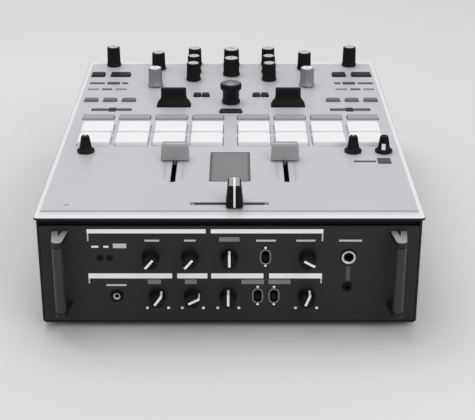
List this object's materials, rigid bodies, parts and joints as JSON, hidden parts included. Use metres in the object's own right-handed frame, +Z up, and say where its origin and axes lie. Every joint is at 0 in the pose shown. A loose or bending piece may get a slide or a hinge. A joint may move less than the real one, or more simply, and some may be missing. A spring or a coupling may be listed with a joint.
{
  "type": "dj mixer",
  "caption": "Tabletop scratch mixer: silver top plate with press pads, rocking paddles, sliding faders and turning knobs, dark front panel with knobs, switches and guard handles.",
  "frame": {"origin": "on the surface that the feet stand on, at the middle of the overall footprint", "axes": "+Z up out of the top plate, +Y from the player's front panel to the rear sockets, +X to the player's right"},
  "size_m": [0.305, 0.4354, 0.12],
  "materials": {
    "silver_plate": "satin silver paint",
    "charcoal_panel": "fine matt charcoal paint",
    "black_steel": "semi-matt black paint",
    "black_knob": "soft matt black",
    "silver_knob": "satin turned",
    "pad_silicone": "matt white silicone",
    "fader_cap_grey": "matt mid grey",
    "key_silicone": "matt dark grey silicone",
    "meter_window": "smoked grey gloss",
    "circuit_board": "green solder resist"
  },
  "bodies": {
    "case": {"bottom_pan": "black_steel", "top_plate": "silver_plate", "front_panel": "charcoal_panel", "rear_panel": "black_steel", "left_handle": "black_steel", "right_handle": "black_steel", "meter_window": "meter_window", "left_keypad": "key_silicone", "right_keypad": "key_silicone", "board_stack": "circuit_board"},
    "aux_level_knob": {"aux_level_knob": "black_knob"},
    "beat_knob": {"beat_knob": "black_knob"},
    "booth_knob": {"booth_knob": "black_knob"},
    "browse_encoder": {"browse_encoder": "black_knob"},
    "channel_fader_left": {"channel_fader_left": "fader_cap_grey"},
    "channel_fader_right": {"channel_fader_right": "fader_cap_grey"},
    "contour_left_knob": {"contour_left_knob": "black_knob"},
    "contour_right_knob": {"contour_right_knob": "black_knob"},
    "crossfader": {"crossfader": "black_knob"},
    "crossfader_curve_knob": {"crossfader_curve_knob": "black_knob"},
    "cue_knob": {"cue_knob": "black_knob"},
    "cue_mix_knob": {"cue_mix_knob": "black_knob"},
    "cue_select_switch": {"cue_select_switch": "black_knob"},
    "effect_knob_left": {"effect_knob_left": "black_knob"},
    "effect_knob_right": {"effect_knob_right": "black_knob"},
    "filter_knob_left": {"filter_knob_left": "silver_knob"},
    "filter_knob_right": {"filter_knob_right": "silver_knob"},
    "high_knob_left": {"high_knob_left": "black_knob"},
    "high_knob_right": {"high_knob_right": "black_knob"},
    "low_knob_left": {"low_knob_left": "black_knob"},
    "low_knob_right": {"low_knob_right": "black_knob"},
    "master_knob": {"master_knob": "black_knob"},
    "mic_level_knob": {"mic_level_knob": "black_knob"},
    "mic_tone_knob": {"mic_tone_knob": "black_knob"},
    "mid_knob_left": {"mid_knob_left": "black_knob"},
    "mid_knob_right": {"mid_knob_right": "black_knob"},
    "pad_left_1": {"pad_left_1": "pad_silicone"},
    "pad_left_2": {"pad_left_2": "pad_silicone"},
    "pad_left_3": {"pad_left_3": "pad_silicone"},
    "pad_left_4": {"pad_left_4": "pad_silicone"},
    "pad_left_5": {"pad_left_5": "pad_silicone"},
    "pad_left_6": {"pad_left_6": "pad_silicone"},
    "pad_left_7": {"pad_left_7": "pad_silicone"},
    "pad_left_8": {"pad_left_8": "pad_silicone"},
    "pad_right_1": {"pad_right_1": "pad_silicone"},
    "pad_right_2": {"pad_right_2": "pad_silicone"},
    "pad_right_3": {"pad_right_3": "pad_silicone"},
    "pad_right_4": {"pad_right_4": "pad_silicone"},
    "pad_right_5": {"pad_right_5": "pad_silicone"},
    "pad_right_6": {"pad_right_6": "pad_silicone"},
    "pad_right_7": {"pad_right_7": "pad_silicone"},
    "pad_right_8": {"pad_right_8": "pad_silicone"},
    "paddle_left": {"paddle_left": "black_knob"},
    "paddle_right": {"paddle_right": "black_knob"},
    "phones_level_knob": {"phones_level_knob": "black_knob"},
    "reverse_left_switch": {"reverse_left_switch": "black_knob"},
    "reverse_right_switch": {"reverse_right_switch": "black_knob"},
    "split_knob": {"split_knob": "black_knob"},
    "trim_knob_left": {"trim_knob_left": "black_knob"},
    "trim_knob_right": {"trim_knob_right": "black_knob"}
  },
  "joints": [
    {"name": "crossfader_slide", "type": "slide", "parent": "case", "child": "crossfader", "axis": [1, 0, 0], "range_m": [-0.0265, 0.0185]},
    {"name": "channel_fader_left_slide", "type": "slide", "parent": "case", "child": "channel_fader_left", "axis": [0, 1, 0], "range_m": [-0.045, 0]},
    {"name": "channel_fader_right_slide", "type": "slide", "parent": "case", "child": "channel_fader_right", "axis": [0, 1, 0], "range_m": [-0.045, 0]},
    {"name": "paddle_left_turn", "type": "hinge", "parent": "case", "child": "paddle_left", "pos_m": [-0.0555, 0.06825, 0.0955], "axis": [1, 0, 0], "range_deg": [-15, 15], "stiffness_Nm_per_rad": 0.02},
    {"name": "paddle_right_turn", "type": "hinge", "parent": "case", "child": "paddle_right", "pos_m": [0.0555, 0.06825, 0.0955], "axis": [1, 0, 0], "range_deg": [-15, 15], "stiffness_Nm_per_rad": 0.02},
    {"name": "browse_encoder_turn", "type": "hinge", "parent": "case", "child": "browse_encoder", "pos_m": [0, 0.07475, 0.099], "axis": [0, 0, -1], "continuous": true},
    {"name": "cue_select_switch_slide", "type": "slide", "parent": "case", "child": "cue_select_switch", "axis": [0, 0, 1], "range_m": [-0.0025, 0.0025]},
    {"name": "reverse_left_switch_slide", "type": "slide", "parent": "case", "child": "reverse_left_switch", "axis": [0, 0, 1], "range_m": [-0.0025, 0.0025]},
    {"name": "reverse_right_switch_slide", "type": "slide", "parent": "case", "child": "reverse_right_switch", "axis": [0, 0, 1], "range_m": [-0.0025, 0.0025]},
    {"name": "master_knob_turn", "type": "hinge", "parent": "case", "child": "master_knob", "pos_m": [0, 0.19625, 0.099], "axis": [0, 0, -1], "range_deg": [-150, 150]},
    {"name": "booth_knob_turn", "type": "hinge", "parent": "case", "child": "booth_knob", "pos_m": [0, 0.16375, 0.099], "axis": [0, 0, -1], "range_deg": [-150, 150]},
    {"name": "cue_knob_turn", "type": "hinge", "parent": "case", "child": "cue_knob", "pos_m": [-0.127, -0.05725, 0.099], "axis": [0, 0, -1], "range_deg": [-150, 150]},
    {"name": "cue_mix_knob_turn", "type": "hinge", "parent": "case", "child": "cue_mix_knob", "pos_m": [0.0615, -0.19525, 0.064], "axis": [0, 1, 0], "range_deg": [-260, 20]},
    {"name": "split_knob_turn", "type": "hinge", "parent": "case", "child": "split_knob", "pos_m": [0.108, -0.05725, 0.099], "axis": [0, 0, -1], "range_deg": [-150, 150]},
    {"name": "beat_knob_turn", "type": "hinge", "parent": "case", "child": "beat_knob", "pos_m": [0.135, -0.05725, 0.099], "axis": [0, 0, -1], "range_deg": [-150, 150]},
    {"name": "effect_knob_left_turn", "type": "hinge", "parent": "case", "child": "effect_knob_left", "pos_m": [-0.1255, 0.19625, 0.099], "axis": [0, 0, -1], "range_deg": [-150, 150]},
    {"name": "effect_knob_right_turn", "type": "hinge", "parent": "case", "child": "effect_knob_right", "pos_m": [0.1255, 0.19625, 0.099], "axis": [0, 0, -1], "range_deg": [-150, 150]},
    {"name": "trim_knob_left_turn", "type": "hinge", "parent": "case", "child": "trim_knob_left", "pos_m": [-0.077, 0.18425, 0.099], "axis": [0, 0, -1], "range_deg": [-150, 150]},
    {"name": "trim_knob_right_turn", "type": "hinge", "parent": "case", "child": "trim_knob_right", "pos_m": [0.077, 0.18425, 0.099], "axis": [0, 0, -1], "range_deg": [-150, 150]},
    {"name": "filter_knob_left_turn", "type": "hinge", "parent": "case", "child": "filter_knob_left", "pos_m": [-0.077, 0.12725, 0.099], "axis": [0, 0, -1], "range_deg": [-150, 150]},
    {"name": "filter_knob_right_turn", "type": "hinge", "parent": "case", "child": "filter_knob_right", "pos_m": [0.077, 0.12725, 0.099], "axis": [0, 0, -1], "range_deg": [-150, 150]},
    {"name": "pad_left_1_slide", "type": "slide", "parent": "case", "child": "pad_left_1", "axis": [0, 0, -1], "range_m": [0, 0.0012], "stiffness_N_per_m": 500, "springref_m": -0.001},
    {"name": "pad_left_2_slide", "type": "slide", "parent": "case", "child": "pad_left_2", "axis": [0, 0, -1], "range_m": [0, 0.0012], "stiffness_N_per_m": 500, "springref_m": -0.001},
    {"name": "pad_right_8_slide", "type": "slide", "parent": "case", "child": "pad_right_8", "axis": [0, 0, -1], "range_m": [0, 0.0012], "stiffness_N_per_m": 500, "springref_m": -0.001},
    {"name": "mic_level_knob_turn", "type": "hinge", "parent": "case", "child": "mic_level_knob", "pos_m": [-0.062, -0.19525, 0.064], "axis": [0, 1, 0], "range_deg": [0, 280]},
    {"name": "mic_tone_knob_turn", "type": "hinge", "parent": "case", "child": "mic_tone_knob", "pos_m": [-0.031, -0.19525, 0.064], "axis": [0, 1, 0], "range_deg": [0, 280]},
    {"name": "aux_level_knob_turn", "type": "hinge", "parent": "case", "child": "aux_level_knob", "pos_m": [0, -0.19525, 0.064], "axis": [0, 1, 0], "range_deg": [-140, 140]},
    {"name": "contour_left_knob_turn", "type": "hinge", "parent": "case", "child": "contour_left_knob", "pos_m": [-0.0575, -0.19525, 0.0295], "axis": [0, 1, 0], "range_deg": [0, 280]},
    {"name": "contour_right_knob_turn", "type": "hinge", "parent": "case", "child": "contour_right_knob", "pos_m": [-0.0295, -0.19525, 0.0295], "axis": [0, 1, 0], "range_deg": [-260, 20]},
    {"name": "crossfader_curve_knob_turn", "type": "hinge", "parent": "case", "child": "crossfader_curve_knob", "pos_m": [-0.001, -0.19525, 0.0295], "axis": [0, 1, 0], "range_deg": [-140, 140]},
    {"name": "phones_level_knob_turn", "type": "hinge", "parent": "case", "child": "phones_level_knob", "pos_m": [0.0615, -0.19525, 0.0295], "axis": [0, 1, 0], "range_deg": [0, 280]},
    {"name": "high_knob_left_turn", "type": "hinge", "parent": "case", "child": "high_knob_left", "pos_m": [-0.039, 0.19925, 0.099], "axis": [0, 0, -1], "range_deg": [-150, 150]},
    {"name": "high_knob_right_turn", "type": "hinge", "parent": "case", "child": "high_knob_right", "pos_m": [0.039, 0.19925, 0.099], "axis": [0, 0, -1], "range_deg": [-150, 150]},
    {"name": "mid_knob_left_turn", "type": "hinge", "parent": "case", "child": "mid_knob_left", "pos_m": [-0.039, 0.17175, 0.099], "axis": [0, 0, -1], "range_deg": [-150, 150]},
    {"name": "mid_knob_right_turn", "type": "hinge", "parent": "case", "child": "mid_knob_right", "pos_m": [0.039, 0.17175, 0.099], "axis": [0, 0, -1], "range_deg": [-150, 150]},
    {"name": "low_knob_left_turn", "type": "hinge", "parent": "case", "child": "low_knob_left", "pos_m": [-0.039, 0.14675, 0.099], "axis": [0, 0, -1], "range_deg": [-150, 150]},
    {"name": "low_knob_right_turn", "type": "hinge", "parent": "case", "child": "low_knob_right", "pos_m": [0.039, 0.14675, 0.099], "axis": [0, 0, -1], "range_deg": [-150, 150]},
    {"name": "pad_left_3_slide", "type": "slide", "parent": "case", "child": "pad_left_3", "axis": [0, 0, -1], "range_m": [0, 0.0012], "stiffness_N_per_m": 500, "springref_m": -0.001},
    {"name": "pad_left_4_slide", "type": "slide", "parent": "case", "child": "pad_left_4", "axis": [0, 0, -1], "range_m": [0, 0.0012], "stiffness_N_per_m": 500, "springref_m": -0.001},
    {"name": "pad_left_5_slide", "type": "slide", "parent": "case", "child": "pad_left_5", "axis": [0, 0, -1], "range_m": [0, 0.0012], "stiffness_N_per_m": 500, "springref_m": -0.001},
    {"name": "pad_left_6_slide", "type": "slide", "parent": "case", "child": "pad_left_6", "axis": [0, 0, -1], "range_m": [0, 0.0012], "stiffness_N_per_m": 500, "springref_m": -0.001},
    {"name": "pad_left_7_slide", "type": "slide", "parent": "case", "child": "pad_left_7", "axis": [0, 0, -1], "range_m": [0, 0.0012], "stiffness_N_per_m": 500, "springref_m": -0.001},
    {"name": "pad_left_8_slide", "type": "slide", "parent": "case", "child": "pad_left_8", "axis": [0, 0, -1], "range_m": [0, 0.0012], "stiffness_N_per_m": 500, "springref_m": -0.001},
    {"name": "pad_right_1_slide", "type": "slide", "parent": "case", "child": "pad_right_1", "axis": [0, 0, -1], "range_m": [0, 0.0012], "stiffness_N_per_m": 500, "springref_m": -0.001},
    {"name": "pad_right_2_slide", "type": "slide", "parent": "case", "child": "pad_right_2", "axis": [0, 0, -1], "range_m": [0, 0.0012], "stiffness_N_per_m": 500, "springref_m": -0.001},
    {"name": "pad_right_3_slide", "type": "slide", "parent": "case", "child": "pad_right_3", "axis": [0, 0, -1], "range_m": [0, 0.0012], "stiffness_N_per_m": 500, "springref_m": -0.001},
    {"name": "pad_right_4_slide", "type": "slide", "parent": "case", "child": "pad_right_4", "axis": [0, 0, -1], "range_m": [0, 0.0012], "stiffness_N_per_m": 500, "springref_m": -0.001},
    {"name": "pad_right_5_slide", "type": "slide", "parent": "case", "child": "pad_right_5", "axis": [0, 0, -1], "range_m": [0, 0.0012], "stiffness_N_per_m": 500, "springref_m": -0.001},
    {"name": "pad_right_6_slide", "type": "slide", "parent": "case", "child": "pad_right_6", "axis": [0, 0, -1], "range_m": [0, 0.0012], "stiffness_N_per_m": 500, "springref_m": -0.001},
    {"name": "pad_right_7_slide", "type": "slide", "parent": "case", "child": "pad_right_7", "axis": [0, 0, -1], "range_m": [0, 0.0012], "stiffness_N_per_m": 500, "springref_m": -0.001}
  ]
}
